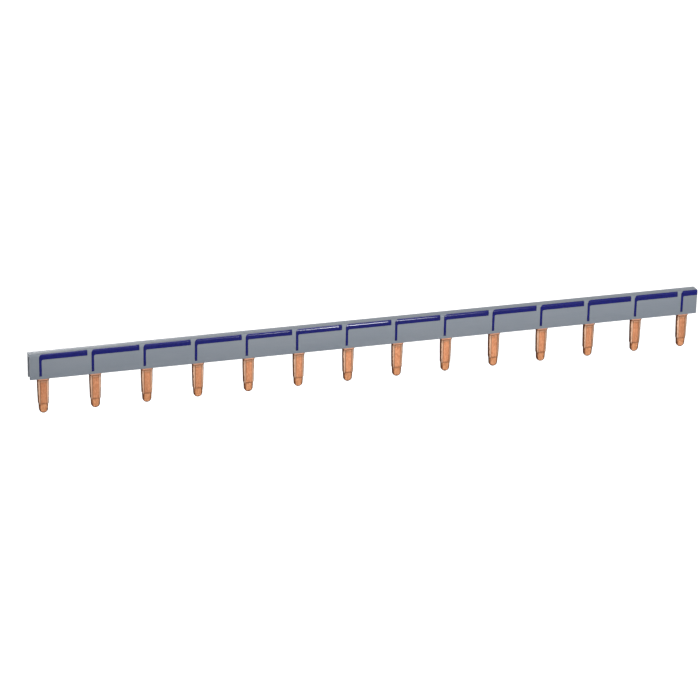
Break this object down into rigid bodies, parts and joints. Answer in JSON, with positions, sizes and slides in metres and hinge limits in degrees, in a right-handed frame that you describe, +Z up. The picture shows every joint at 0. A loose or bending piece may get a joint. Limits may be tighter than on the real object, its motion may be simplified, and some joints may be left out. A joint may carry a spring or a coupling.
{
  "type": "comb busbar",
  "caption": "Single-pole comb busbar: a row of coined copper prongs under a copper strip, in a slim grey insulating sleeve with blue marks that show where each module begins.",
  "frame": {"origin": "middle of the row of prongs, at the sleeve's lower edge and halfway through the copper", "axes": "+X along the bar, +Y towards the plain back, +Z up, with the prongs pointing along -Z"},
  "size_m": [0.2408, 0.0041, 0.0216],
  "materials": {
    "sleeve_plastic": "satin extruded",
    "bare_copper": "bare stamped copper",
    "mark_ink": "printed ink"
  },
  "bodies": {
    "root": {"insulating_sleeve": "sleeve_plastic", "copper_comb": "bare_copper", "module_marks": "mark_ink"}
  },
  "joints": []
}
